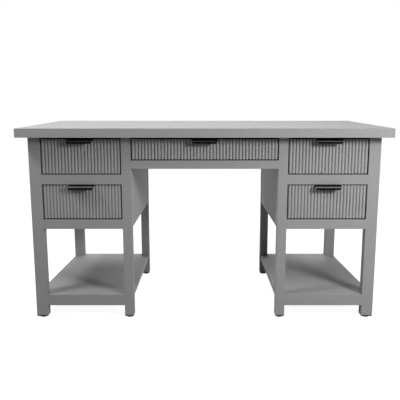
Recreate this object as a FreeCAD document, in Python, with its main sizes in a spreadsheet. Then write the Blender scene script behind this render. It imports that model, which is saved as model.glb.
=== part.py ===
import FreeCAD, Part
import math
import os
import Sketcher

# A computer desk with two pedestals, five drawers with reeded fronts and two low shelves.
# Millimetres. The origin lies on the floor under the middle of the desk, +Z is up
# and the drawers face -Y.

doc = FreeCAD.newDocument("computer_desk")

driving_sizes = {
    # the whole desk
    "desk_width": 1400,
    "desk_depth": 700,
    "desk_height": 750,
    # top slab and how far it stands out past the legs
    "top_thickness": 34,
    "top_edge_round": 2,
    "front_overhang": 48,
    "rear_overhang": 56,
    "side_overhang": 34,
    # legs and the glides under them
    "outer_leg_width": 44,
    "inner_leg_width": 36,
    "leg_depth": 36,
    "outer_rear_inset": 29,
    "inner_rear_inset": 7,
    "foot_round": 5,
    "glide_radius": 13,
    "glide_height": 4,
    "kneehole_width": 561,
    # front rails and the drawer openings, counted down from the slab
    "rail_depth": 28,
    "pedestal_rail_height": 38,
    "centre_rail_height": 32,
    "upper_opening_height": 143,
    "lower_opening_height": 136,
    "centre_opening_height": 89,
    # panels around the drawer cases
    "panel_thickness": 12,
    "panel_setback": 1.5,
    "back_rail_thickness": 18,
    # shelves
    "shelf_top_height": 95,
    "shelf_thickness": 20,
    "shelf_rail_height": 44.5,
    "shelf_rail_depth": 20,
    "shelf_side_setback": 4,
    "shelf_rear_setback": 2,
    # drawer fronts
    "drawer_gap": 3.5,
    "slab_gap": 9.5,
    "drawer_setback": 3,
    "front_thickness": 18,
    "reed_least_pitch": 12.2,
    "reed_depth": 3.3,
    "reed_valley": 0.8,
    # drawer boxes
    "box_side_clearance": 9,
    "box_rise": 8,
    "box_top_drop": 14,
    "box_side_thickness": 12,
    "box_back_thickness": 12,
    "box_bottom_thickness": 6,
    "groove_depth": 5,
    "groove_rise": 8,
    "box_rear_clearance": 30,
    # runners and stops
    "running_clearance": 0.3,
    "runner_ledge_width": 10,
    "runner_ledge_thickness": 12,
    "runner_guide_height": 18,
    "stop_length": 16,
    "stop_height": 18,
    # bent metal pulls
    "pull_width": 99,
    "pull_thickness": 2,
    "pull_reach": 26,
    "pull_drop": 15,
    "pull_bend_radius": 8,
    "pull_flange_drop": 14,
    "pull_corner_share": 0.9,
    "pull_fit": 0.25,
    # how far a cut runs past the wood
    "cut_overrun": 5,
}

# Planes and spans that follow from the driving sizes. Distances named near and far are
# measured sideways from the middle of the desk, and serve both pedestals. The rear legs
# stand nearer to the middle than the front ones, so the sides close in towards the rear.
layout_formulas = {
    "frame_far": "Sizes.desk_width / 2 - Sizes.side_overhang",
    "kneehole_near": "Sizes.kneehole_width / 2",
    "opening_near": "kneehole_near + Sizes.inner_leg_width",
    "opening_far": "frame_far - Sizes.outer_leg_width",
    "inner_panel_near": "kneehole_near + Sizes.panel_setback",
    "inner_panel_far": "inner_panel_near + Sizes.panel_thickness",
    "outer_panel_far": "frame_far - Sizes.panel_setback",
    "outer_panel_near": "outer_panel_far - Sizes.panel_thickness",
    "rear_frame_far": "frame_far - Sizes.outer_rear_inset",
    "rear_opening_far": "opening_far - Sizes.outer_rear_inset",
    "rear_outer_panel_far": "outer_panel_far - Sizes.outer_rear_inset",
    "rear_outer_panel_near": "outer_panel_near - Sizes.outer_rear_inset",
    "rear_kneehole_near": "kneehole_near - Sizes.inner_rear_inset",
    "rear_opening_near": "opening_near - Sizes.inner_rear_inset",
    "rear_inner_panel_far": "inner_panel_far - Sizes.inner_rear_inset",
    "rear_inner_panel_near": "inner_panel_near - Sizes.inner_rear_inset",
    "case_front": "Sizes.front_overhang - Sizes.desk_depth / 2",
    "case_rear": "Sizes.desk_depth / 2 - Sizes.rear_overhang",
    "front_leg_back": "case_front + Sizes.leg_depth",
    "rear_leg_front": "case_rear - Sizes.leg_depth",
    "back_plane": "case_rear - Sizes.panel_setback",
    "top_underside": "Sizes.desk_height - Sizes.top_thickness",
    "leg_height": "top_underside - Sizes.glide_height",
    "middle_rail_top": "top_underside - Sizes.upper_opening_height",
    "middle_rail_bottom": "middle_rail_top - Sizes.pedestal_rail_height",
    "lower_rail_top": "middle_rail_bottom - Sizes.lower_opening_height",
    "lower_rail_bottom": "lower_rail_top - Sizes.pedestal_rail_height",
    "centre_rail_top": "top_underside - Sizes.centre_opening_height",
    "centre_rail_bottom": "centre_rail_top - Sizes.centre_rail_height",
    "shelf_underside": "Sizes.shelf_top_height - Sizes.shelf_thickness",
    "shelf_rail_bottom": "Sizes.shelf_top_height - Sizes.shelf_rail_height",
    "reed_crest_plane": "case_front + Sizes.drawer_setback",
    "front_board_face": "reed_crest_plane + Sizes.reed_depth",
    "front_board_back": "front_board_face + Sizes.front_thickness",
    "box_rear": "rear_leg_front - Sizes.box_rear_clearance",
    "stop_front": "box_rear + Sizes.running_clearance",
    "pull_length": "Sizes.front_thickness + Sizes.reed_depth + Sizes.pull_reach",
    "pull_corner": "Sizes.pull_corner_share * (Sizes.pull_drop - Sizes.pull_thickness)",
}


def fill_sheet(name, cells, prefix):
    sheet = doc.addObject("Spreadsheet::Sheet", name)
    for row, (alias, content) in enumerate(cells.items(), start=1):
        sheet.set(f"A{row}", alias)
        sheet.set(f"B{row}", f"{prefix}{content}")
        sheet.setAlias(f"B{row}", alias)
    return sheet


sizes = fill_sheet("Sizes", driving_sizes, "")
layout = fill_sheet("Layout", layout_formulas, "=")
doc.recompute()

sub_parts = []


def number(formula):
    return float(sizes.evalExpression(formula))


def difference(span):
    low, high = span
    return f"({high}) - ({low})"


def middle(span):
    low, high = span
    return f"(({low}) + ({high})) / 2"


def inside(span, margin):
    low, high = span
    return f"({low}) + {margin}", f"({high}) - {margin}"


def on_side(side, near, far):
    # the span between two distances from the middle, to the left or to the right
    if side == "right":
        return near, far
    return f"-({far})", f"-({near})"


def place(piece, x, y, z):
    for axis, formula in zip("xyz", (x, y, z)):
        piece.setExpression(f"Placement.Base.{axis}", formula)


def keep(piece, label):
    piece.Label = label
    sub_parts.append(piece)
    return piece


def block(name, x_span, y_span, z_span):
    box = doc.addObject("Part::Box", name)
    for side, span in zip(("Length", "Width", "Height"), (x_span, y_span, z_span)):
        box.setExpression(side, difference(span))
    place(box, x_span[0], y_span[0], z_span[0])
    return box


def board(label, x_span, y_span, z_span):
    return keep(block(label, x_span, y_span, z_span), label)


def wedge(name, front_x, rear_x, y_span, z_span):
    # a board whose sideways span changes evenly from its front end to its rear end
    piece = doc.addObject("Part::Wedge", name)
    limits = {"Xmin": front_x[0], "Xmax": front_x[1], "X2min": rear_x[0], "X2max": rear_x[1],
              "Ymin": y_span[0], "Ymax": y_span[1], "Zmin": z_span[0], "Zmax": z_span[1],
              "Z2min": z_span[0], "Z2max": z_span[1]}
    for limit, formula in limits.items():
        piece.setExpression(limit, formula)
    return piece


def cut(name, base, tool):
    result = doc.addObject("Part::Cut", name)
    result.Base = base
    result.Tool = tool
    return result


def group(label, pieces):
    result = doc.addObject("Part::Compound", label)
    result.Links = pieces
    return keep(result, label)


def origin_feature(body, role):
    return next(feature for feature in body.Origin.OriginFeatures if feature.Role == role)


def new_sketch(body, name, plane_role, offset=("0", "0", "0")):
    sketch = body.newObject("Sketcher::SketchObject", name)
    sketch.AttachmentSupport = [(origin_feature(body, plane_role), "")]
    sketch.MapMode = "FlatFace"
    for axis, formula in zip("xyz", offset):
        sketch.setExpression(f"AttachmentOffset.Base.{axis}", formula)
    return sketch


def bind(sketch, name, constraint, formula):
    sketch.addConstraint(constraint)
    sketch.renameConstraint(sketch.ConstraintCount - 1, name)
    sketch.setExpression(f"Constraints.{name}", formula)


def rectangle_sketch(body, name, plane_role, width, height, offset=("0", "0", "0")):
    # a rectangle whose lower left corner is the sketch's own origin
    sketch = new_sketch(body, name, plane_role, offset)
    wide = number(width)
    high = number(height)
    corners = [(0, 0), (wide, 0), (wide, high), (0, high)]
    points = [FreeCAD.Vector(x, y, 0) for x, y in corners]
    for start, end in zip(points, points[1:] + points[:1]):
        sketch.addGeometry(Part.LineSegment(start, end))
    for line in range(4):
        sketch.addConstraint(Sketcher.Constraint("Coincident", line, 2, (line + 1) % 4, 1))
    for line, direction in enumerate(("Horizontal", "Vertical", "Horizontal", "Vertical")):
        sketch.addConstraint(Sketcher.Constraint(direction, line))
    sketch.addConstraint(Sketcher.Constraint("Coincident", 0, 1, -1, 1))
    bind(sketch, "width", Sketcher.Constraint("DistanceX", 0, 1, 0, 2, wide), width)
    bind(sketch, "height", Sketcher.Constraint("DistanceY", 1, 1, 1, 2, high), height)
    return sketch


def pad(body, name, sketch, length):
    feature = body.newObject("PartDesign::Pad", name)
    feature.Profile = sketch
    feature.setExpression("Length", length)
    return feature


def pocket(body, name, sketch, length):
    feature = body.newObject("PartDesign::Pocket", name)
    feature.Profile = sketch
    feature.setExpression("Length", length)
    return feature


def fillet(body, name, base, chosen, radius):
    # rounds the edges of the base feature for which chosen(edge) holds
    doc.recompute()
    edges = [f"Edge{i}" for i, edge in enumerate(base.Shape.Edges, start=1) if chosen(edge)]
    feature = body.newObject("PartDesign::Fillet", name)
    feature.Base = (base, edges)
    feature.setExpression("Radius", radius)
    return feature


def near(value, target):
    return math.isclose(value, target, abs_tol=1e-6)


def desk_top():
    body = keep(doc.addObject("PartDesign::Body", "desk_top"), "desk_top")
    outline = rectangle_sketch(body, "desk_top_outline", "XY_Plane", "Sizes.desk_width", "Sizes.desk_depth")
    slab = pad(body, "desk_top_slab", outline, "Sizes.top_thickness")
    fillet(body, "desk_top_eased_edges", slab, lambda edge: not near(edge.BoundBox.ZMax, 0),
           "Sizes.top_edge_round")
    place(body, "-Sizes.desk_width / 2", "-Sizes.desk_depth / 2", "Layout.top_underside")


def leg(label, x_span, y_low):
    body = keep(doc.addObject("PartDesign::Body", label), label)
    section = rectangle_sketch(body, f"{label}_section", "XY_Plane", difference(x_span), "Sizes.leg_depth")
    post = pad(body, f"{label}_post", section, "Layout.leg_height")
    fillet(body, f"{label}_foot", post, lambda edge: near(edge.BoundBox.ZMax, 0), "Sizes.foot_round")
    place(body, x_span[0], y_low, "Sizes.glide_height")


def glide(name, x_span, y_low):
    disc = doc.addObject("Part::Cylinder", name)
    disc.setExpression("Radius", "Sizes.glide_radius")
    disc.setExpression("Height", "Sizes.glide_height")
    place(disc, middle(x_span), f"{y_low} + Sizes.leg_depth / 2", "0")
    return disc


leg_places = {
    "inner_front": ("Layout.kneehole_near", "Layout.opening_near", "Layout.case_front"),
    "inner_rear": ("Layout.rear_kneehole_near", "Layout.rear_opening_near", "Layout.rear_leg_front"),
    "outer_front": ("Layout.opening_far", "Layout.frame_far", "Layout.case_front"),
    "outer_rear": ("Layout.rear_opening_far", "Layout.rear_frame_far", "Layout.rear_leg_front"),
}


def legs_and_glides():
    glides = []
    for side in ("left", "right"):
        for corner, (near_edge, far_edge, y_low) in leg_places.items():
            x_span = on_side(side, near_edge, far_edge)
            leg(f"{side}_{corner}_leg", x_span, y_low)
            glides.append(glide(f"{side}_{corner}_glide", x_span, y_low))
    group("leg_glides", glides)


def shelf(side):
    # a board notched around the four legs of its pedestal, behind a taller front rail
    label = f"{side}_shelf"
    setback = "Sizes.shelf_side_setback"
    front_x = inside(on_side(side, "Layout.kneehole_near", "Layout.frame_far"), setback)
    rear_x = inside(on_side(side, "Layout.rear_kneehole_near", "Layout.rear_frame_far"), setback)
    rail_back = "Layout.case_front + Sizes.shelf_rail_depth"
    thickness = ("Layout.shelf_underside", "Sizes.shelf_top_height")
    plank = wedge(f"{label}_plank", front_x, rear_x,
                  (rail_back, "Layout.case_rear - Sizes.shelf_rear_setback"), thickness)
    notch_height = inside(thickness, "(-Sizes.cut_overrun)")
    notches = []
    for corner, (near_edge, far_edge, y_low) in leg_places.items():
        notch_x = on_side(side, near_edge, far_edge)
        notch_y = (y_low, f"{y_low} + Sizes.leg_depth")
        notches.append(block(f"{label}_{corner}_notch", notch_x, notch_y, notch_height))
    legs = doc.addObject("Part::MultiFuse", f"{label}_notches")
    legs.Shapes = notches
    keep(cut(label, plank, legs), label)
    board(f"{side}_shelf_rail", on_side(side, "Layout.opening_near", "Layout.opening_far"),
          ("Layout.case_front", rail_back), ("Layout.shelf_rail_bottom", "Sizes.shelf_top_height"))


def pedestal_case(side):
    # the panels and rails that hold the legs of one pedestal together at drawer height
    between_legs = ("Layout.front_leg_back", "Layout.rear_leg_front")
    case_height = ("Layout.lower_rail_bottom", "Layout.top_underside")
    bay = on_side(side, "Layout.opening_near", "Layout.opening_far")
    rear_bay = on_side(side, "Layout.rear_opening_near", "Layout.rear_opening_far")
    rail_depth = ("Layout.case_front", "Layout.case_front + Sizes.rail_depth")
    for column in ("inner", "outer"):
        label = f"{side}_{column}_side_panel"
        front_x = on_side(side, f"Layout.{column}_panel_near", f"Layout.{column}_panel_far")
        rear_x = on_side(side, f"Layout.rear_{column}_panel_near", f"Layout.rear_{column}_panel_far")
        keep(wedge(label, front_x, rear_x, between_legs, case_height), label)
    board(f"{side}_back_panel", rear_bay, ("Layout.back_plane - Sizes.panel_thickness", "Layout.back_plane"),
          case_height)
    for level in ("middle", "lower"):
        board(f"{side}_{level}_rail", bay, rail_depth,
              (f"Layout.{level}_rail_bottom", f"Layout.{level}_rail_top"))


def kneehole_rails():
    board("centre_rail", ("-Layout.kneehole_near", "Layout.kneehole_near"),
          ("Layout.case_front", "Layout.case_front + Sizes.rail_depth"),
          ("Layout.centre_rail_bottom", "Layout.centre_rail_top"))
    board("centre_back_rail", ("-Layout.rear_kneehole_near", "Layout.rear_kneehole_near"),
          ("Layout.back_plane - Sizes.back_rail_thickness", "Layout.back_plane"),
          ("Layout.centre_rail_bottom", "Layout.top_underside"))


class Drawer:
    # the opening of a drawer, and the spans of its front and box that follow from it
    def __init__(self, name, x_span, z_span, top_gap, panel_faces, rear_panel_faces):
        self.name = name
        self.panel_faces = panel_faces
        self.rear_panel_faces = rear_panel_faces
        self.front_x = inside(x_span, "Sizes.drawer_gap")
        self.front_z = (f"{z_span[0]} + Sizes.drawer_gap", f"{z_span[1]} - {top_gap}")
        self.box_x = inside(x_span, "Sizes.box_side_clearance")
        self.inner_x = inside(self.box_x, "Sizes.box_side_thickness")
        self.bottom_x = inside(self.inner_x, "(-Sizes.groove_depth)")
        low, high = self.front_z
        self.box_z = (f"{low} + Sizes.box_rise", f"{high} - Sizes.box_top_drop")
        groove_low = f"{self.box_z[0]} + Sizes.groove_rise"
        self.groove_z = (groove_low, f"{groove_low} + Sizes.box_bottom_thickness")
        self.box_y = ("Layout.front_board_back", "Layout.box_rear")


def reed_sketch(body, name, pitch):
    # a flat chord on the board's face, closed by an arc that bulges to the front
    sketch = new_sketch(body, name, "XY_Plane")
    chord = f"({pitch} - Sizes.reed_valley)"
    radius = f"({chord}^2 / 4 + Sizes.reed_depth^2) / (2 * Sizes.reed_depth)"
    left = number("Sizes.reed_valley / 2")
    wide = number(chord)
    round_radius = number(radius)
    centre_rise = round_radius - number("Sizes.reed_depth")
    lean = math.atan2(centre_rise, wide / 2)
    centre = FreeCAD.Vector(left + wide / 2, centre_rise, 0)
    circle = Part.Circle(centre, FreeCAD.Vector(0, 0, 1), round_radius)
    sketch.addGeometry(Part.ArcOfCircle(circle, math.pi + lean, 2 * math.pi - lean))
    sketch.addGeometry(Part.LineSegment(FreeCAD.Vector(left + wide, 0, 0), FreeCAD.Vector(left, 0, 0)))
    sketch.addConstraint(Sketcher.Constraint("Coincident", 0, 2, 1, 1))
    sketch.addConstraint(Sketcher.Constraint("Coincident", 0, 1, 1, 2))
    sketch.addConstraint(Sketcher.Constraint("PointOnObject", 1, 1, -1))
    sketch.addConstraint(Sketcher.Constraint("PointOnObject", 1, 2, -1))
    bind(sketch, "half_valley", Sketcher.Constraint("DistanceX", -1, 1, 1, 2, left), "Sizes.reed_valley / 2")
    bind(sketch, "chord", Sketcher.Constraint("DistanceX", 1, 2, 1, 1, wide), chord)
    bind(sketch, "bulge", Sketcher.Constraint("Radius", 0, round_radius), radius)
    return sketch


def drawer_front(drawer):
    # a board with one reed repeated along it, a seat for the pull on its top edge
    # and a groove across its back for the drawer's bottom
    label = f"{drawer.name}_drawer_front"
    body = keep(doc.addObject("PartDesign::Body", label), label)
    width = f"({difference(drawer.front_x)})"
    height = f"({difference(drawer.front_z)})"
    reed_count = f"floor({width} / Sizes.reed_least_pitch)"
    pitch = f"({width} / {reed_count})"
    section = rectangle_sketch(body, f"{label}_section", "XY_Plane", width, "Sizes.front_thickness")
    pad(body, f"{label}_board", section, height)
    reed = pad(body, f"{label}_reed", reed_sketch(body, f"{label}_reed_section", pitch), height)
    reeds = body.newObject("PartDesign::LinearPattern", f"{label}_reeds")
    reeds.Originals = [reed]
    reeds.Direction = (origin_feature(body, "X_Axis"), [""])
    reeds.setExpression("Length", f"{width} - {pitch}")
    reeds.setExpression("Occurrences", reed_count)
    body.Tip = reeds
    seat_width = "(Sizes.pull_width + 2 * Sizes.pull_fit)"
    seat = rectangle_sketch(
        body, f"{label}_pull_seat", "XY_Plane", seat_width,
        "Sizes.front_thickness + Sizes.reed_depth + 2 * Sizes.cut_overrun",
        (f"({width} - {seat_width}) / 2", "-Sizes.reed_depth - Sizes.cut_overrun", height))
    pocket(body, f"{label}_pull_seat_cut", seat, "Sizes.pull_thickness")
    groove = rectangle_sketch(
        body, f"{label}_groove", "XZ_Plane", difference(drawer.bottom_x), "Sizes.box_bottom_thickness",
        (f"{drawer.bottom_x[0]} - ({drawer.front_x[0]})", "Sizes.box_rise + Sizes.groove_rise",
         "Sizes.groove_depth - Sizes.front_thickness"))
    pocket(body, f"{label}_groove_cut", groove, "Sizes.groove_depth")
    place(body, drawer.front_x[0], "Layout.front_board_face", drawer.front_z[0])


def drawer_box(drawer):
    # two grooved sides, a back that stands on the bottom, and the bottom in its grooves
    groove_x = {"left": (drawer.bottom_x[0], drawer.inner_x[0]),
                "right": (drawer.inner_x[1], drawer.bottom_x[1])}
    side_x = {"left": (drawer.box_x[0], drawer.inner_x[0]),
              "right": (drawer.inner_x[1], drawer.box_x[1])}
    for hand in ("left", "right"):
        label = f"{drawer.name}_drawer_{hand}_side"
        plank = block(f"{label}_plank", side_x[hand], drawer.box_y, drawer.box_z)
        groove = block(f"{label}_groove", groove_x[hand], drawer.box_y, drawer.groove_z)
        keep(cut(label, plank, groove), label)
    board(f"{drawer.name}_drawer_back", drawer.inner_x,
          ("Layout.box_rear - Sizes.box_back_thickness", "Layout.box_rear"),
          (drawer.groove_z[1], drawer.box_z[1]))
    board(f"{drawer.name}_drawer_bottom", drawer.bottom_x,
          ("Layout.front_board_back - Sizes.groove_depth", "Layout.box_rear"), drawer.groove_z)


def pull_profile(body, name):
    # the strip seen from its end: a flange down the back of the board, a flat over its
    # top edge, a round bend in front and a lip that hangs down. The sketch's origin is
    # the back edge of the board's top.
    sketch = new_sketch(body, name, "YZ_Plane")
    thick = number("Sizes.pull_thickness")
    length = number("Layout.pull_length")
    bend = number("Sizes.pull_bend_radius")
    drop = number("Sizes.pull_drop")
    flange = number("Sizes.pull_flange_drop")
    normal = FreeCAD.Vector(0, 0, 1)

    def line(y_start, z_start, y_end, z_end):
        start = FreeCAD.Vector(y_start, z_start, 0)
        sketch.addGeometry(Part.LineSegment(start, FreeCAD.Vector(y_end, z_end, 0)))
        return sketch.GeometryCount - 1

    def quarter(y, z, radius, start):
        circle = Part.Circle(FreeCAD.Vector(y, z, 0), normal, radius)
        sketch.addGeometry(Part.ArcOfCircle(circle, start, start + math.pi / 2))
        return sketch.GeometryCount - 1

    def add(kind, *where):
        sketch.addConstraint(Sketcher.Constraint(kind, *where))

    flange_back = line(thick, -flange, thick, -thick)
    back_bend = quarter(0, -thick, thick, 0)
    top = line(0, 0, bend - length, 0)
    outer_bend = quarter(bend - length, -bend, bend, math.pi / 2)
    lip_face = line(-length, -bend, -length, -drop)
    lip_edge = line(-length, -drop, thick - length, -drop)
    lip_back = line(thick - length, -drop, thick - length, -bend)
    inner_bend = quarter(bend - length, -bend, bend - thick, math.pi / 2)
    underside = line(bend - length, -thick, 0, -thick)
    flange_face = line(0, -thick, 0, -flange)
    flange_edge = line(0, -flange, thick, -flange)
    add("Tangent", flange_back, 2, back_bend, 1)
    add("Tangent", back_bend, 2, top, 1)
    add("Tangent", top, 2, outer_bend, 1)
    add("Tangent", outer_bend, 2, lip_face, 1)
    add("Coincident", lip_face, 2, lip_edge, 1)
    add("Coincident", lip_edge, 2, lip_back, 1)
    add("Tangent", lip_back, 2, inner_bend, 2)
    add("Tangent", inner_bend, 1, underside, 1)
    add("Coincident", underside, 2, flange_face, 1)
    add("Coincident", flange_face, 2, flange_edge, 1)
    add("Coincident", flange_edge, 2, flange_back, 1)
    for upright in (flange_back, lip_face, lip_back, flange_face):
        add("Vertical", upright)
    for level in (top, lip_edge, underside, flange_edge):
        add("Horizontal", level)
    add("PointOnObject", underside, 2, -2)
    add("PointOnObject", top, 1, -1)
    add("Coincident", back_bend, 3, underside, 2)
    add("Coincident", inner_bend, 3, outer_bend, 3)
    bind(sketch, "thickness", Sketcher.Constraint("DistanceY", underside, 2, -1, 1, thick),
         "Sizes.pull_thickness")
    bind(sketch, "flange_drop", Sketcher.Constraint("DistanceY", flange_face, 2, -1, 1, flange),
         "Sizes.pull_flange_drop")
    bind(sketch, "length", Sketcher.Constraint("DistanceX", lip_face, 2, -1, 1, length),
         "Layout.pull_length")
    bind(sketch, "bend_radius", Sketcher.Constraint("Radius", outer_bend, bend), "Sizes.pull_bend_radius")
    bind(sketch, "drop", Sketcher.Constraint("DistanceY", lip_face, 2, -1, 1, drop), "Sizes.pull_drop")
    return sketch


def pull_corner_sketch(body, name):
    # what a rounded lower corner leaves out, seen from the front: an arc, then an angle
    # that runs past the strip
    sketch = new_sketch(body, name, "XZ_Plane", ("0", "0", "Layout.pull_length + Sizes.cut_overrun"))
    half = number("Sizes.pull_width / 2")
    drop = number("Sizes.pull_drop")
    radius = number("Layout.pull_corner")
    overrun = number("Sizes.cut_overrun")
    outline = [(half, radius - drop), (half + overrun, radius - drop), (half + overrun, -drop - overrun),
               (half - radius, -drop - overrun), (half - radius, -drop)]
    points = [FreeCAD.Vector(x, z, 0) for x, z in outline]
    for start, end in zip(points, points[1:]):
        sketch.addGeometry(Part.LineSegment(start, end))
    circle = Part.Circle(FreeCAD.Vector(half - radius, radius - drop, 0), FreeCAD.Vector(0, 0, 1), radius)
    sketch.addGeometry(Part.ArcOfCircle(circle, -math.pi / 2, 0))
    for line in range(3):
        sketch.addConstraint(Sketcher.Constraint("Coincident", line, 2, line + 1, 1))
    for line, direction in enumerate(("Horizontal", "Vertical", "Horizontal", "Vertical")):
        sketch.addConstraint(Sketcher.Constraint(direction, line))
    sketch.addConstraint(Sketcher.Constraint("Coincident", 3, 2, 4, 1))
    sketch.addConstraint(Sketcher.Constraint("Coincident", 4, 2, 0, 1))
    sketch.addConstraint(Sketcher.Constraint("Vertical", 4, 3, 3, 2))
    sketch.addConstraint(Sketcher.Constraint("Horizontal", 4, 3, 0, 1))
    bind(sketch, "radius", Sketcher.Constraint("Radius", 4, radius), "Layout.pull_corner")
    bind(sketch, "half_width", Sketcher.Constraint("DistanceX", -1, 1, 0, 1, half), "Sizes.pull_width / 2")
    bind(sketch, "drop", Sketcher.Constraint("DistanceY", 3, 2, -1, 1, drop), "Sizes.pull_drop")
    bind(sketch, "past_end", Sketcher.Constraint("DistanceX", 0, 1, 0, 2, overrun), "Sizes.cut_overrun")
    bind(sketch, "past_edge", Sketcher.Constraint("DistanceY", 3, 1, 3, 2, overrun), "Sizes.cut_overrun")
    return sketch


def drawer_pull(drawer):
    label = f"{drawer.name}_drawer_pull"
    body = keep(doc.addObject("PartDesign::Body", label), label)
    strip = pad(body, f"{label}_strip", pull_profile(body, f"{label}_profile"), "Sizes.pull_width")
    strip.SideType = "Symmetric"
    corner = pocket(body, f"{label}_corner_cut", pull_corner_sketch(body, f"{label}_corner"),
                    "Layout.pull_length + Sizes.pull_thickness + 2 * Sizes.cut_overrun")
    corners = body.newObject("PartDesign::Mirrored", f"{label}_corners")
    corners.Originals = [corner]
    corners.MirrorPlane = (origin_feature(body, "YZ_Plane"), [""])
    body.Tip = corners
    place(body, middle(drawer.front_x), "Layout.front_board_back", drawer.front_z[1])


def runner(drawer, hand):
    # a strip on the case panel, rebated so that the drawer side rides on its ledge
    name = f"{drawer.name}_{hand}_runner"
    ledge_top = f"({drawer.box_z[0]} - Sizes.running_clearance)"
    strip_z = (f"{ledge_top} - Sizes.runner_ledge_thickness", f"{ledge_top} + Sizes.runner_guide_height")
    rebate_z = (ledge_top, f"{strip_z[1]} + Sizes.cut_overrun")
    strip_y = ("Layout.front_leg_back", "Layout.rear_leg_front")
    rebate_y = inside(strip_y, "(-Sizes.cut_overrun)")
    if hand == "left":
        side_face = drawer.box_x[0]
        ledge_end = f"{side_face} + Sizes.runner_ledge_width"
        front_x = (drawer.panel_faces[0], ledge_end)
        rear_x = (drawer.rear_panel_faces[0], ledge_end)
        rebate_x = (f"{side_face} - Sizes.running_clearance", f"{ledge_end} + Sizes.cut_overrun")
    else:
        side_face = drawer.box_x[1]
        ledge_end = f"{side_face} - Sizes.runner_ledge_width"
        front_x = (ledge_end, drawer.panel_faces[1])
        rear_x = (ledge_end, drawer.rear_panel_faces[1])
        rebate_x = (f"{ledge_end} - Sizes.cut_overrun", f"{side_face} + Sizes.running_clearance")
    strip = wedge(f"{name}_strip", front_x, rear_x, strip_y, strip_z)
    rebate = block(f"{name}_rebate", rebate_x, rebate_y, rebate_z)
    return cut(name, strip, rebate)


def stop(drawer, hand):
    # a small block on the ledge, just behind the drawer side
    ledge_top = f"({drawer.box_z[0]} - Sizes.running_clearance)"
    if hand == "left":
        stop_x = (drawer.box_x[0], f"{drawer.box_x[0]} + Sizes.runner_ledge_width")
    else:
        stop_x = (f"{drawer.box_x[1]} - Sizes.runner_ledge_width", drawer.box_x[1])
    stop_y = ("Layout.stop_front", "Layout.stop_front + Sizes.stop_length")
    stop_z = (ledge_top, f"{ledge_top} + Sizes.stop_height")
    return block(f"{drawer.name}_{hand}_stop", stop_x, stop_y, stop_z)


def drawers():
    levels = {"upper": (("Layout.middle_rail_top", "Layout.top_underside"), "Sizes.slab_gap"),
              "lower": (("Layout.lower_rail_top", "Layout.middle_rail_bottom"), "Sizes.drawer_gap")}
    centre = Drawer("centre", ("-Layout.kneehole_near", "Layout.kneehole_near"),
                    ("Layout.centre_rail_top", "Layout.top_underside"), "Sizes.slab_gap",
                    ("-Layout.inner_panel_near", "Layout.inner_panel_near"),
                    ("-Layout.rear_inner_panel_near", "Layout.rear_inner_panel_near"))
    banks = {"centre": [centre]}
    for side in ("left", "right"):
        opening = on_side(side, "Layout.opening_near", "Layout.opening_far")
        panel_faces = on_side(side, "Layout.inner_panel_far", "Layout.outer_panel_near")
        rear_faces = on_side(side, "Layout.rear_inner_panel_far", "Layout.rear_outer_panel_near")
        banks[side] = [Drawer(f"{side}_{level}", opening, z_span, top_gap, panel_faces, rear_faces)
                       for level, (z_span, top_gap) in levels.items()]
    stops = []
    for bank, members in banks.items():
        runners = []
        for drawer in members:
            drawer_front(drawer)
            drawer_box(drawer)
            drawer_pull(drawer)
            for hand in ("left", "right"):
                runners.append(runner(drawer, hand))
                stops.append(stop(drawer, hand))
        group(f"{bank}_drawer_runners", runners)
    group("drawer_stops", stops)


def check_document():
    for piece in doc.Objects:
        if "Invalid" in piece.State or "Error" in piece.State:
            raise RuntimeError(f"{piece.Label} failed: {piece.State}")
        if piece.TypeId == "PartDesign::Pocket" and piece.Shape.Volume >= piece.BaseFeature.Shape.Volume:
            raise RuntimeError(f"{piece.Label} cuts nothing")
    for piece in sub_parts:
        if piece.Shape.isNull() or not piece.Shape.isValid():
            raise RuntimeError(f"{piece.Label} has no valid shape")


desk_top()
legs_and_glides()
for pedestal_side in ("left", "right"):
    pedestal_case(pedestal_side)
    shelf(pedestal_side)
kneehole_rails()
drawers()
doc.recompute()
check_document()

os.makedirs("parts", exist_ok=True)
for sub_part in sub_parts:
    sub_part.Shape.exportStep(f"parts/{sub_part.Label}.step")
print(f"{len(sub_parts)} sub-parts, {sum(len(piece.Shape.Solids) for piece in sub_parts)} solids")
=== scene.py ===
import math
import bpy
import numpy as np
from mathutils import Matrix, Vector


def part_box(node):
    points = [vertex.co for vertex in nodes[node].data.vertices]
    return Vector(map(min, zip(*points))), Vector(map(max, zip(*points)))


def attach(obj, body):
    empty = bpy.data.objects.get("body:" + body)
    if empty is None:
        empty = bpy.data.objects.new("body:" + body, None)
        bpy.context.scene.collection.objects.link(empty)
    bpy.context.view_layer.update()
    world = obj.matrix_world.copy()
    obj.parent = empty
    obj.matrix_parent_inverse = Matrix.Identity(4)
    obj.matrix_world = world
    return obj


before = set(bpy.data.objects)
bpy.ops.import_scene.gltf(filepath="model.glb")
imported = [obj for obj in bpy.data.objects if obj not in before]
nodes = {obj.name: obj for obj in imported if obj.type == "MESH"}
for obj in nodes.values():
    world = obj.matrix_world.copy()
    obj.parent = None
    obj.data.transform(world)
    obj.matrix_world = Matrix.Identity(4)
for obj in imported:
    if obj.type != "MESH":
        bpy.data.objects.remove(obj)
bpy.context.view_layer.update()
print("frame loaded with", len(nodes), "nodes")

# each drawer's rail below it, and the count of reeds on its front
drawers = {
    "left_upper": {"rail": "left_middle_rail", "reeds": 24},
    "left_lower": {"rail": "left_lower_rail", "reeds": 24},
    "centre": {"rail": "centre_rail", "reeds": 45},
    "right_upper": {"rail": "right_middle_rail", "reeds": 24},
    "right_lower": {"rail": "right_lower_rail", "reeds": 24},
}


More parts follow.
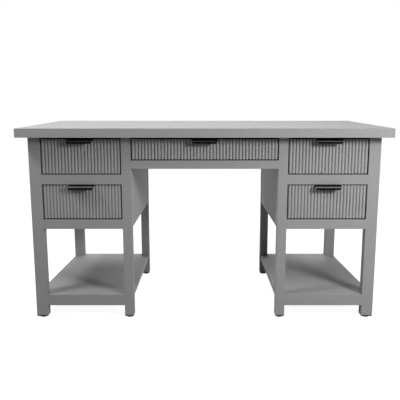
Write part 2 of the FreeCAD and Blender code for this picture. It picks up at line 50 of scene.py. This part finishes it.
# shader helpers: a value is a number, a colour or the socket that feeds it
def addNode(tree, kind, values=None, **settings):
    made = tree.nodes.new("ShaderNode" + kind)
    for name, setting in settings.items():
        setattr(made, name, setting)
    for name, value in (values or {}).items():
        if isinstance(value, bpy.types.NodeSocket):
            tree.links.new(value, made.inputs[name])
        else:
            made.inputs[name].default_value = value
    return made


def sums(tree, operation, *values, clamp=False):
    made = addNode(tree, "Math", dict(enumerate(values)), operation=operation, use_clamp=clamp)
    return made.outputs[0]


def mixColours(tree, share, first, second, blend="MIX"):
    made = addNode(tree, "Mix", {0: share, 6: first, 7: second}, data_type="RGBA", blend_type=blend)
    return made.outputs[2]


def scaled(tree, vector, factors):
    return addNode(tree, "VectorMath", {0: vector, 1: factors}, operation="MULTIPLY").outputs[0]


# noise runs from 0 to 1 about this level
noiseMiddle = 0.5


def noise(tree, vector, scale=1.0, detail=2.0, roughness=0.5):
    values = {"Vector": vector, "Scale": scale, "Detail": detail, "Roughness": roughness}
    return addNode(tree, "TexNoise", values).outputs["Fac"]


def ramp(tree, value, low, high):
    # 0 below low, 1 above high, smooth between them
    made = addNode(tree, "MapRange", {"Value": value, "From Min": low, "From Max": high},
                   interpolation_type="SMOOTHSTEP")
    return made.outputs[0]


def facing(tree, axis):
    # how far a face looks along an axis, from -1 to 1
    normal = addNode(tree, "NewGeometry").outputs["Normal"]
    return addNode(tree, "SeparateXYZ", {0: normal}).outputs[axis]


def newGroup(name, inputs, outputs):
    tree = bpy.data.node_groups.new(name, "ShaderNodeTree")
    for socket, kind in inputs.items():
        tree.interface.new_socket(socket, in_out="INPUT", socket_type="NodeSocket" + kind)
    for socket, kind in outputs.items():
        tree.interface.new_socket(socket, in_out="OUTPUT", socket_type="NodeSocket" + kind)
    given = tree.nodes.new("NodeGroupInput").outputs
    wanted = tree.nodes.new("NodeGroupOutput").inputs
    return tree, given, wanted


def placeGroup(tree, group, values):
    return addNode(tree, "Group", values, node_tree=group).outputs


paintPattern = {
    "clouds": {"scale": 4.0, "detail": 3.0},
    "grain": {"detail": 4.0, "roughness": 0.6},
    "grainStretch": (5.0, 190.0, 190.0),
    "stipple": {"scale": 850.0, "detail": 1.0},
    "cloudRoughness": 0.12,     # how far clouds and stipple change the roughness
    "stippleRoughness": 0.05,
    "roughnessShift": -0.085,   # keeps the mean roughness at the sheen that is asked for
    "grainHeight": 0.6,
    "stippleHeight": 0.25,
}


def buildPaintFilm(settings):
    # sprayed paint over wood: slow clouds in the shade, faint grain showing through, fine stipple
    tree, given, wanted = newGroup(
        "paintFilm",
        {"Coordinates": "Vector", "Colour": "Color", "Sheen": "Float",
         "Cloud": "Float", "Grain": "Float"},
        {"Colour": "Color", "Roughness": "Float", "Height": "Float"})
    cloud = noise(tree, given["Coordinates"], **settings["clouds"])
    stretched = scaled(tree, given["Coordinates"], settings["grainStretch"])
    grain = noise(tree, stretched, **settings["grain"])
    stipple = noise(tree, given["Coordinates"], **settings["stipple"])
    cloudShade = sums(tree, "MULTIPLY", sums(tree, "SUBTRACT", cloud, noiseMiddle), given["Cloud"])
    grainShade = sums(tree, "MULTIPLY", sums(tree, "SUBTRACT", grain, noiseMiddle), given["Grain"])
    shade = sums(tree, "ADD", sums(tree, "ADD", cloudShade, grainShade), 1.0)
    tree.links.new(mixColours(tree, 1.0, given["Colour"], shade, "MULTIPLY"), wanted["Colour"])
    fine = sums(tree, "MULTIPLY_ADD", stipple, settings["stippleRoughness"], settings["roughnessShift"])
    rough = sums(tree, "MULTIPLY_ADD", cloud, settings["cloudRoughness"], fine)
    tree.links.new(sums(tree, "ADD", given["Sheen"], rough, clamp=True), wanted["Roughness"])
    specks = sums(tree, "MULTIPLY", stipple, settings["stippleHeight"])
    tree.links.new(sums(tree, "MULTIPLY_ADD", grain, settings["grainHeight"], specks), wanted["Height"])
    return tree


wearPattern = {
    "edgeFrom": 0.02,       # how far the normal has to turn before wear starts, and where it is full
    "edgeTo": 0.22,
    "samples": 6,
    "spots": {"scale": 45.0, "detail": 3.0},
    "patchFrom": 0.45,
    "patchTo": 0.7,
}


def buildEdgeWear(settings):
    # how far a rounded normal leaves the face's own, broken up by noise: 1 on a worn edge
    tree, given, wanted = newGroup(
        "edgeWear", {"Coordinates": "Vector", "Radius": "Float", "Amount": "Float"},
        {"Mask": "Float", "Normal": "Vector"})
    eased = addNode(tree, "Bevel", {"Radius": given["Radius"]}, samples=settings["samples"]).outputs[0]
    face = addNode(tree, "NewGeometry").outputs["Normal"]
    along = addNode(tree, "VectorMath", {0: eased, 1: face}, operation="DOT_PRODUCT").outputs["Value"]
    edge = ramp(tree, sums(tree, "SUBTRACT", 1.0, along), settings["edgeFrom"], settings["edgeTo"])
    spots = noise(tree, given["Coordinates"], **settings["spots"])
    patches = ramp(tree, spots, settings["patchFrom"], settings["patchTo"])
    mask = sums(tree, "MULTIPLY", sums(tree, "MULTIPLY", edge, patches), given["Amount"])
    tree.links.new(mask, wanted["Mask"])
    tree.links.new(eased, wanted["Normal"])
    return tree


dustPattern = {
    "levelFrom": 0.6,       # how far up a face looks where dust starts, and where it is full
    "levelTo": 0.95,
    "spots": {"scale": 9.0, "detail": 5.0, "roughness": 0.65},
    "patchFrom": 0.35,
    "patchTo": 0.75,
}


def buildSettledDust(settings):
    # dust lies on faces that look up, in soft patches
    tree, given, wanted = newGroup(
        "settledDust", {"Coordinates": "Vector", "Amount": "Float"}, {"Mask": "Float"})
    upward = ramp(tree, facing(tree, "Z"), settings["levelFrom"], settings["levelTo"])
    spots = noise(tree, given["Coordinates"], **settings["spots"])
    patches = ramp(tree, spots, settings["patchFrom"], settings["patchTo"])
    mask = sums(tree, "MULTIPLY", sums(tree, "MULTIPLY", upward, patches), given["Amount"])
    tree.links.new(mask, wanted["Mask"])
    return tree


woodPattern = {
    "bends": {"detail": 3.0},
    "bendStretch": (1.6, 7.0, 7.0),
    "bendRings": 9.0,       # how many rings the slow noise shifts
    "slant": 0.8,           # how far the rings lean across the board
    "lateSharpness": 2.5,
    "lateShade": 0.65,
    "pores": {"detail": 2.0},
    "poreStretch": (30.0, 1100.0, 1100.0),
    "poreFrom": 0.55,
    "poreTo": 0.75,
    "poreShade": 0.35,
    "roughness": 0.62,
    "lateRoughness": -0.12,
}


def buildWoodFigure(settings):
    # growth rings cut lengthwise: bands across the board, bent by slow noise, with fine pores
    tree, given, wanted = newGroup(
        "woodFigure",
        {"Coordinates": "Vector", "Pale": "Color", "Dark": "Color", "Rings": "Float"},
        {"Colour": "Color", "Roughness": "Float", "Height": "Float"})
    stretched = scaled(tree, given["Coordinates"], settings["bendStretch"])
    bend = noise(tree, stretched, **settings["bends"])
    parts = addNode(tree, "SeparateXYZ", {0: given["Coordinates"]}).outputs
    across = sums(tree, "ADD", parts["Y"], sums(tree, "MULTIPLY", parts["Z"], settings["slant"]))
    shift = sums(tree, "MULTIPLY", bend, settings["bendRings"])
    saw = sums(tree, "FRACT", sums(tree, "MULTIPLY_ADD", across, given["Rings"], shift))
    late = sums(tree, "POWER", saw, settings["lateSharpness"])
    fibres = scaled(tree, given["Coordinates"], settings["poreStretch"])
    pores = noise(tree, fibres, **settings["pores"])
    opened = ramp(tree, pores, settings["poreFrom"], settings["poreTo"])
    poreShade = sums(tree, "MULTIPLY", opened, settings["poreShade"])
    figure = sums(tree, "MULTIPLY_ADD", late, settings["lateShade"], poreShade, clamp=True)
    tree.links.new(mixColours(tree, figure, given["Pale"], given["Dark"]), wanted["Colour"])
    rough = sums(tree, "MULTIPLY_ADD", figure, settings["lateRoughness"], settings["roughness"])
    tree.links.new(rough, wanted["Roughness"])
    tree.links.new(sums(tree, "MULTIPLY", figure, -1.0), wanted["Height"])
    return tree


reedPattern = {
    "grooveFrom": 0.5,      # share of the way from crest to groove where the shade starts
    "grooveTo": 0.95,
    "crestFrom": 0.45,      # share of the way from groove to crest where the painted highlight starts
    "crestTo": 0.9,
}


def buildReedShade(settings):
    # masks for the painted shade in the grooves and the painted highlight on the crests, from the distance
    # to the nearest groove between two reeds
    tree, given, wanted = newGroup(
        "reedShade", {"Coordinates": "Vector", "Start": "Float", "Pitch": "Float"},
        {"Groove": "Float", "Crest": "Float"})
    across = addNode(tree, "SeparateXYZ", {0: given["Coordinates"]}).outputs["X"]
    turn = sums(tree, "DIVIDE", sums(tree, "SUBTRACT", across, given["Start"]), given["Pitch"])
    saw = sums(tree, "FRACT", turn)
    hollow = sums(tree, "ABSOLUTE", sums(tree, "MULTIPLY_ADD", saw, 2.0, -1.0))
    crest = sums(tree, "SUBTRACT", 1.0, hollow)
    tree.links.new(ramp(tree, hollow, settings["grooveFrom"], settings["grooveTo"]), wanted["Groove"])
    tree.links.new(ramp(tree, crest, settings["crestFrom"], settings["crestTo"]), wanted["Crest"])
    return tree


paintFilm = buildPaintFilm(paintPattern)
edgeWear = buildEdgeWear(wearPattern)
settledDust = buildSettledDust(dustPattern)
woodFigure = buildWoodFigure(woodPattern)
reedShade = buildReedShade(reedPattern)
print("shader groups built")

# turns that lay a pattern's own X along the grain
quarterTurn = math.pi / 2
grainTurns = {
    "along": (0.0, 0.0, 0.0),
    "deep": (0.0, 0.0, quarterTurn),
    "upright": (0.0, quarterTurn, 0.0),
}


def newMaterial(name, shade):
    # shade colours the node in a plain viewport
    made = bpy.data.materials.new(name)
    made.use_nodes = True
    made.diffuse_color = shade
    tree = made.node_tree
    shader = tree.nodes["Principled BSDF"]
    place = addNode(tree, "TexCoord").outputs["Object"]
    return made, tree, shader, place


def turned(tree, place, grain):
    return addNode(tree, "Mapping", {"Vector": place, "Rotation": grainTurns[grain]}).outputs[0]


def feed(tree, shader, sockets):
    for name, socket in sockets.items():
        tree.links.new(socket, shader.inputs[name])


def placeFilm(tree, place, settings):
    # the film of a finish: its colour, roughness and height
    return placeGroup(tree, paintFilm, {
        "Coordinates": place, "Colour": settings["colour"], "Sheen": settings["sheen"],
        "Cloud": settings["cloud"], "Grain": settings["grain"]})


def placeWear(tree, place, settings):
    # the worn edges of a finish, and the normal that rounds them
    return placeGroup(tree, edgeWear, {
        "Coordinates": place, "Radius": settings["edgeRadius"], "Amount": settings["wear"]})


def bumped(tree, settings, height, normal=None):
    values = {"Strength": settings["bump"], "Distance": settings["bumpDepth"], "Height": height}
    if normal is not None:
        values["Normal"] = normal
    return addNode(tree, "Bump", values).outputs[0]


greyPaint = {
    "colour": (0.265, 0.265, 0.266, 1.0),
    # worn paint on the edges, and also the colour of the painted highlight on the reed crests
    "wornAndHighlight": (0.36, 0.36, 0.355, 1.0),
    "dust": (0.42, 0.415, 0.405, 1.0),
    # painted shade mixed into the grooves between reeds
    "groove": (0.14, 0.14, 0.14, 1.0),
    # near-black painted shade for the drawer gaps, on the edges of the fronts and the tops of the rails
    "edge": (0.014, 0.0136, 0.0132, 1.0),
    # painted shadow where a foot meets the floor
    "footShadowColour": (0.05, 0.049, 0.047, 1.0),
    "sheen": 0.62,          # roughness of the film
    "gloss": 0.15,          # how strongly the film mirrors
    "cloud": 0.06,
    "grain": 0.05,
    "bump": 0.08,
    "bumpDepth": 0.0004,
    "edgeRadius": 0.0012,
    "wear": 0.25,
    "dustAmount": 0.05,
    "dustRoughness": 0.6,
    "grooveShadeAmount": 0.57,
    "crestHighlightAmount": 0.42,
    "edgeFrom": 0.15,       # how far an edge looks along Y where the painted shade gives way to paint, and where the paint is full
    "edgeTo": 0.3,
    "railTopShadeFrom": 0.8,       # how far up a rail's face looks where its near-black painted shade starts, and is full
    "railTopShadeTo": 0.9,
    "footShadowNoise": {"scale": 120.0, "detail": 2.0},
    "footShadowUneven": 0.003,
    "footShadowFull": 0.0105,    # height in metres up to which the painted shadow at a foot is full, and where it ends
    "footShadowEnd": 0.013,
}


def gapShadeEdge(tree):
    # 1 on the edges of a drawer front, which take a near-black colour as painted shade for the gaps round
    # the drawer, 0 on its reeds and its back
    level = sums(tree, "ABSOLUTE", facing(tree, "Y"))
    painted = ramp(tree, level, greyPaint["edgeFrom"], greyPaint["edgeTo"])
    return sums(tree, "SUBTRACT", 1.0, painted)


def footShadow(tree, place):
    # painted contact shadow: 1 on the rounded lower edge of a foot, with an uneven upper line
    height = addNode(tree, "SeparateXYZ", {0: place}).outputs["Z"]
    waves = noise(tree, place, **greyPaint["footShadowNoise"])
    uneven = sums(tree, "MULTIPLY_ADD", waves, greyPaint["footShadowUneven"], height)
    outsideFootShadow = ramp(tree, uneven, greyPaint["footShadowFull"], greyPaint["footShadowEnd"])
    return sums(tree, "SUBTRACT", 1.0, outsideFootShadow)


def greyPaintMaterial(name, grain, reeds=None, railTopShade=False):
    made, tree, shader, place = newMaterial(name, greyPaint["colour"])
    film = placeFilm(tree, turned(tree, place, grain), greyPaint)
    wear = placeWear(tree, place, greyPaint)
    dust = placeGroup(tree, settledDust, {"Coordinates": place, "Amount": greyPaint["dustAmount"]})
    colour = mixColours(tree, wear["Mask"], film["Colour"], greyPaint["wornAndHighlight"])
    if reeds:
        start, pitch = reeds
        shade = placeGroup(tree, reedShade, {"Coordinates": place, "Start": start, "Pitch": pitch})
        # painted shade: the grooves between the reeds are darkened
        grooveShade = sums(tree, "MULTIPLY", shade["Groove"], greyPaint["grooveShadeAmount"])
        colour = mixColours(tree, grooveShade, colour, greyPaint["groove"])
        # painted highlight: the crests of the reeds are lightened
        height = sums(tree, "MULTIPLY", shade["Crest"], greyPaint["crestHighlightAmount"])
        colour = mixColours(tree, height, colour, greyPaint["wornAndHighlight"])
        # painted shade: the edges of the front are made near-black for the gaps
        colour = mixColours(tree, gapShadeEdge(tree), colour, greyPaint["edge"])
    # painted contact shadow on the lower edge of each foot
    if grain == "upright" and not reeds:
        colour = mixColours(tree, footShadow(tree, place), colour, greyPaint["footShadowColour"])
    # painted shade: the tops of the rails under the drawers are made near-black for the gaps
    if railTopShade:
        level = ramp(tree, facing(tree, "Z"), greyPaint["railTopShadeFrom"], greyPaint["railTopShadeTo"])
        colour = mixColours(tree, level, colour, greyPaint["edge"])
    colour = mixColours(tree, dust["Mask"], colour, greyPaint["dust"])
    dusty = sums(tree, "MULTIPLY", dust["Mask"], greyPaint["dustRoughness"])
    rough = sums(tree, "ADD", film["Roughness"], dusty, clamp=True)
    normal = bumped(tree, greyPaint, film["Height"], wear["Normal"])
    shader.inputs["Specular IOR Level"].default_value = greyPaint["gloss"]
    feed(tree, shader, {"Base Color": colour, "Roughness": rough, "Normal": normal})
    return made


bareWood = {
    "pale": (0.50, 0.43, 0.35, 1.0),
    "dark": (0.35, 0.28, 0.21, 1.0),
    "rings": 60.0,          # rings per metre across the board
    "bump": 0.15,
    "bumpDepth": 0.0003,
}


def bareWoodMaterial(name, grain):
    made, tree, shader, place = newMaterial(name, bareWood["pale"])
    figure = placeGroup(tree, woodFigure, {
        "Coordinates": turned(tree, place, grain), "Pale": bareWood["pale"],
        "Dark": bareWood["dark"], "Rings": bareWood["rings"]})
    normal = bumped(tree, bareWood, figure["Height"])
    feed(tree, shader, {
        "Base Color": figure["Colour"], "Roughness": figure["Roughness"], "Normal": normal})
    return made


darkBronze = {
    "colour": (0.006, 0.0058, 0.0055, 1.0),
    # worn metal on the edges, and also the colour of the painted highlight on the bend
    "rubbedAndHighlight": (0.085, 0.0837, 0.0803, 1.0),
    "bendHighlightShare": 0.9,         # how strongly the bend of a pull is lightened, a painted highlight
    "sheen": 0.42,
    "cloud": 0.5,
    "grain": 0.25,
    "edgeRadius": 0.0008,
    "wear": 0.6,
    "bump": 0.05,
    "bumpDepth": 0.0002,
}


def bendHighlight(tree):
    # painted highlight on the bend of a pull: largest where a face looks forward and up at 45 degrees, 0
    # where it looks straight forward
    slope = sums(tree, "MULTIPLY", facing(tree, "Y"), facing(tree, "Z"))
    return sums(tree, "MULTIPLY", slope, -2.0 * darkBronze["bendHighlightShare"], clamp=True)


def darkBronzeMaterial():
    made, tree, shader, place = newMaterial("darkBronze", darkBronze["colour"])
    film = placeFilm(tree, place, darkBronze)
    wear = placeWear(tree, place, darkBronze)
    # painted highlight on the bend, joined with the real edge wear
    wearAndBendHighlight = sums(tree, "MAXIMUM", wear["Mask"], bendHighlight(tree))
    colour = mixColours(tree, wearAndBendHighlight, film["Colour"], darkBronze["rubbedAndHighlight"])
    normal = bumped(tree, darkBronze, film["Height"], wear["Normal"])
    shader.inputs["Metallic"].default_value = 1.0
    feed(tree, shader, {"Base Color": colour, "Roughness": film["Roughness"], "Normal": normal})
    return made


glidePad = {
    "colour": (0.022, 0.021, 0.020, 1.0),
    "sheen": 0.7,
    "cloud": 0.6,
    "grain": 0.2,
    "bump": 0.2,
    "bumpDepth": 0.0004,
}


def glidePadMaterial():
    made, tree, shader, place = newMaterial("glidePad", glidePad["colour"])
    film = placeFilm(tree, place, glidePad)
    normal = bumped(tree, glidePad, film["Height"])
    feed(tree, shader, {"Base Color": film["Colour"], "Roughness": film["Roughness"], "Normal": normal})
    return made


def reedRow(name, count):
    # where the row of reeds starts on a drawer front, and its pitch
    low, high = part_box(name + "_drawer_front")
    return low.x, (high.x - low.x) / count


drawerRails = [drawer["rail"] for drawer in drawers.values()]
paints = {grain: greyPaintMaterial("greyPaint_" + grain, grain) for grain in ("along", "upright")}
railTopShadePaint = greyPaintMaterial("railTopShadePaint", "along", railTopShade=True)
woods = {grain: bareWoodMaterial("bareWood_" + grain, grain) for grain in ("along", "deep")}
bronze = darkBronzeMaterial()
pad = glidePadMaterial()


def finishFor(node):
    # the finish of a CAD node, from its name
    for name, drawer in drawers.items():
        if node == name + "_drawer_front":
            return greyPaintMaterial("reededPaint_" + name, "upright", reedRow(name, drawer["reeds"]))
    if node.endswith("_pull"):
        return bronze
    if node == "leg_glides":
        return pad
    if "_drawer_" in node or node == "drawer_stops":
        return woods["along" if node.endswith(("_back", "_bottom")) else "deep"]
    if node.endswith(("_leg", "_side_panel")):
        return paints["upright"]
    if node in drawerRails:
        return railTopShadePaint
    return paints["along"]


for node, piece in nodes.items():
    finish = finishFor(node)
    for slot in piece.material_slots:
        slot.material = finish
print("finishes given to", len(nodes), "nodes")


def skinRings(rings):
    # quads between neighbouring rings, wrapped round, and a fan to the middle of each end ring
    count, around = rings.shape[:2]
    index = np.arange(count * around).reshape(count, around)
    after = np.roll(index, -1, axis=1)
    quads = np.stack([index[:-1], after[:-1], after[1:], index[1:]], axis=-1).reshape(-1, 4)
    first = np.stack([after[0], index[0], np.full(around, count * around)], axis=-1)
    last = np.stack([index[-1], after[-1], np.full(around, count * around + 1)], axis=-1)
    ends = np.stack([rings[0].mean(axis=0), rings[-1].mean(axis=0)])
    return np.concatenate([rings.reshape(-1, 3), ends]), quads.tolist() + first.tolist() + last.tolist()


def newPiece(name, shapes, finish, sharpAngle=35.0):
    # joins shapes, each with its points and faces, into one object at the origin
    points, faces, start = [], [], 0
    for shapePoints, shapeFaces in shapes:
        points.append(shapePoints)
        faces += [[start + corner for corner in face] for face in shapeFaces]
        start += len(shapePoints)
    mesh = bpy.data.meshes.new(name)
    mesh.from_pydata(np.concatenate(points).tolist(), [], faces)
    mesh.polygons.foreach_set("use_smooth", np.ones(len(mesh.polygons), dtype=bool))
    mesh.set_sharp_from_angle(angle=math.radians(sharpAngle))
    mesh.materials.append(finish)
    made = bpy.data.objects.new(name, mesh)
    bpy.context.scene.collection.objects.link(made)
    return made


pullScrews = {
    "apart": 0.070,         # between the two screws of a pull
    "fromTop": 0.0085,      # below the top of the flange
    "radius": 0.0032,
    "dome": 0.0016,
    "rim": 0.0005,
    "slotArm": 0.0019,
    "slotWidth": 0.0005,
    "slotDepth": 0.0011,
    "around": 48,
    "rings": 16,
    "innerShare": 0.04,     # the smallest ring's share of the radius
}


def crossHead(settings):
    # a low dome over a round rim, height = dome * (1 - (r / radius)^2), less a cross-shaped
    # recess whose floor rises towards the ends of its arms; +Y points out of the work
    angle = np.linspace(0.0, 2 * math.pi, settings["around"], endpoint=False)
    share = np.concatenate([np.linspace(settings["innerShare"], 1.0, settings["rings"]), [1.0]])
    r, a = np.meshgrid(share * settings["radius"], angle, indexing="ij")
    x, z = r * np.cos(a), r * np.sin(a)
    height = settings["rim"] + settings["dome"] * (1.0 - (r / settings["radius"]) ** 2)
    arm = np.minimum(np.abs(x), np.abs(z)) < settings["slotWidth"]
    reach = np.clip(1.0 - r / settings["slotArm"], 0.0, 1.0)
    recess = settings["slotDepth"] * np.sqrt(reach)
    height = height - np.where(arm & (r < settings["slotArm"]), recess, 0.0)
    height[-1] = 0.0
    return np.stack([x, height, z], axis=-1)


def addPullScrews(name):
    low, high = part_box(name + "_drawer_pull")
    head = crossHead(pullScrews)
    middle = (low.x + high.x) / 2
    shapes = []
    for side in (-0.5, 0.5):
        place = np.array([middle + side * pullScrews["apart"], high.y, high.z - pullScrews["fromTop"]])
        shapes.append(skinRings((head + place)[::-1]))
    made = newPiece(name + "_pull_screws", shapes, bronze)
    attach(made, name + "_drawer")


for name in drawers:
    addPullScrews(name)
print("pull screws made")

# dark strips that stand in the drawer gaps as painted shade
gapShadeStrips = {
    "height": 0.0022,
    "behind": 0.004,        # behind the crests of the reeds
    "endGap": 0.0005,
    "squareness": 0.35,     # the power s of the outline, 1 for an ellipse and 0 for a box
    "steps": 25,
}


def softStrip(low, high, settings):
    # a half superellipse drawn out along x: y = -half * cos(t)^s, z = height * sin(t)^s
    t = np.linspace(0.0, math.pi, settings["steps"])
    along = np.sign(np.cos(t)) * np.abs(np.cos(t)) ** settings["squareness"]
    up = np.abs(np.sin(t)) ** settings["squareness"]
    y = (low[1] + high[1]) / 2 - (high[1] - low[1]) / 2 * along
    z = low[2] + (high[2] - low[2]) * up
    ends = np.array([low[0], high[0]])
    return np.stack(np.broadcast_arrays(ends[:, None], y[None], z[None]), axis=-1)


def addGapShadeStrips(settings):
    # a dark strip on each rail under a drawer front, put in the gap as painted shade so that the gap reads
    # dark
    shapes = []
    for name, drawer in drawers.items():
        railLow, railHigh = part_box(drawer["rail"])
        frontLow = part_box(name + "_drawer_front")[0]
        low = (railLow.x + settings["endGap"], frontLow.y + settings["behind"], railHigh.z)
        high = (railHigh.x - settings["endGap"], railHigh.y, railHigh.z + settings["height"])
        shapes.append(skinRings(softStrip(low, high, settings)[::-1]))
    made = newPiece("rail_gap_shade_strips", shapes, pad)
    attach(made, "desk_frame")


addGapShadeStrips(gapShadeStrips)
print("felt strips made")

studio = {
    "white": (1.0, 1.0, 1.0, 1.0),
    "floorRadius": 40.0,
    "floorMiddle": 0.4,     # radius of the innermost ring of the floor's disc
    "floorAround": 72,
    "floorRings": 8,
    "floorColour": (0.45, 0.45, 0.45, 1.0),
    "shadowShare": 0.5,     # how much of the lit floor shows, which keeps the desk's shadow
    "floorWhite": 0.94,     # plain white that the camera sees besides, near the desk
    "whiteFrom": 1.0,       # metres from the desk's middle where the floor starts to turn plain white
    "whiteTo": 2.2,
    "worldLight": 0.0,      # the white surroundings are seen and mirrored, but light nothing
}


def floorDisc(settings):
    # a disc in polar steps, x = r cos a, y = r sin a, with finer rings near the desk
    angle = np.linspace(0.0, 2 * math.pi, settings["floorAround"], endpoint=False)
    outer = np.geomspace(1.0, settings["floorRadius"], settings["floorRings"])
    radius = np.concatenate([[settings["floorMiddle"]], outer])
    r, a = np.meshgrid(radius, angle, indexing="ij")
    rings = np.stack([r * np.cos(a), r * np.sin(a), np.zeros_like(r)], axis=-1)
    count, around = r.shape
    index = np.arange(count * around).reshape(count, around)
    after = np.roll(index, -1, axis=1)
    quads = np.stack([index[:-1], index[1:], after[1:], after[:-1]], axis=-1).reshape(-1, 4)
    faces = quads.tolist() + [index[0].tolist()]
    return rings.reshape(-1, 3), faces


def seenWhite(tree):
    # 1 where a ray comes straight from the camera, by a gloss or through glass
    rays = addNode(tree, "LightPath").outputs
    mirrored = sums(tree, "MAXIMUM", rays["Is Glossy Ray"], rays["Is Transmission Ray"])
    return sums(tree, "MAXIMUM", rays["Is Camera Ray"], mirrored)


def addFloor():
    made, tree, shader, place = newMaterial("paleFloor", studio["floorColour"])
    seen = seenWhite(tree)
    faint = [part * studio["shadowShare"] for part in studio["floorColour"][:3]] + [1.0]
    tree.links.new(mixColours(tree, seen, studio["floorColour"], faint), shader.inputs["Base Color"])
    shader.inputs["Roughness"].default_value = 1.0
    shader.inputs["Specular IOR Level"].default_value = 0.0
    away = addNode(tree, "VectorMath", {0: place}, operation="LENGTH").outputs["Value"]
    plain = ramp(tree, away, studio["whiteFrom"], studio["whiteTo"])
    strength = sums(tree, "MULTIPLY_ADD", plain, 1.0 - studio["floorWhite"], studio["floorWhite"])
    glow = sums(tree, "MULTIPLY", seen, strength)
    white = addNode(tree, "Emission", {"Color": studio["white"], "Strength": glow})
    both = addNode(tree, "AddShader", {0: shader.outputs[0], 1: white.outputs[0]})
    tree.links.new(both.outputs[0], tree.nodes["Material Output"].inputs["Surface"])
    floor = newPiece("floor", [floorDisc(studio)], made)


def addWorld():
    world = bpy.data.worlds.new("studio")
    world.use_nodes = True
    tree = world.node_tree
    light = tree.nodes["Background"]
    light.inputs["Color"].default_value = studio["white"]
    light.inputs["Strength"].default_value = studio["worldLight"]
    white = addNode(tree, "Background", {"Color": studio["white"], "Strength": 1.0})
    both = addNode(tree, "MixShader", {0: seenWhite(tree), 1: light.outputs[0], 2: white.outputs[0]})
    tree.links.new(both.outputs[0], tree.nodes["World Output"].inputs["Surface"])
    bpy.context.scene.world = world


# softboxes: where each hangs, what it points at, its two sides in metres and its power in watts
softboxes = {
    "highBehind": {"place": (-0.3, 1.3, 2.4), "aim": (0.0, 0.0, 0.75), "size": (2.4, 1.4), "power": 52.0},
    "lowBehind": {"place": (0.0, 3.2, 0.95), "aim": (0.0, 0.0, 0.6), "size": (5.0, 1.8), "power": 30.0},
    "nearRight": {"place": (1.4, -1.6, 1.3), "aim": (0.3, -0.3, 0.5), "size": (0.45, 0.45), "power": 35.7},
    "frontHigh": {"place": (0.5, -1.9, 2.6), "aim": (0.0, -0.3, 0.5), "size": (1.0, 0.8), "power": 13.9},
    "highLeft": {"place": (-1.4, -0.8, 1.9), "aim": (-0.3, -0.3, 0.4), "size": (0.4, 0.4), "power": 21.4},
}


def addSoftbox(name, settings):
    lamp = bpy.data.lights.new(name, "AREA")
    lamp.shape = "RECTANGLE"
    lamp.size, lamp.size_y = settings["size"]
    lamp.energy = settings["power"]
    made = bpy.data.objects.new(name, lamp)
    made.visible_camera = False
    bpy.context.scene.collection.objects.link(made)
    made.location = settings["place"]
    towards = np.subtract(settings["aim"], settings["place"])
    flat = math.hypot(towards[0], towards[1])
    made.rotation_euler = (math.atan2(flat, -towards[2]), 0.0, math.atan2(-towards[0], towards[1]))


addFloor()
addWorld()
for name, settings in softboxes.items():
    addSoftbox(name, settings)
print("floor, world and softboxes set")

# the photograph's view, in metres and degrees, for a square frame
view = {
    "place": (0.0, -2.4192, 0.8602),
    "tilt": 79.6889,
    "sensor": 36.0,         # sensor width and focal length in millimetres
    "lens": 50.548,
    "shift": (-0.0115, 0.0),
}
camera = bpy.data.cameras.new("camera")
camera.sensor_fit = "HORIZONTAL"
camera.sensor_width = view["sensor"]
camera.lens = view["lens"]
camera.shift_x, camera.shift_y = view["shift"]
cameraObject = bpy.data.objects.new("camera", camera)
cameraObject.location = view["place"]
cameraObject.rotation_euler = (math.radians(view["tilt"]), 0.0, 0.0)
bpy.context.scene.collection.objects.link(cameraObject)
bpy.context.scene.camera = cameraObject
bpy.context.scene.view_settings.view_transform = "Standard"
print("camera set")
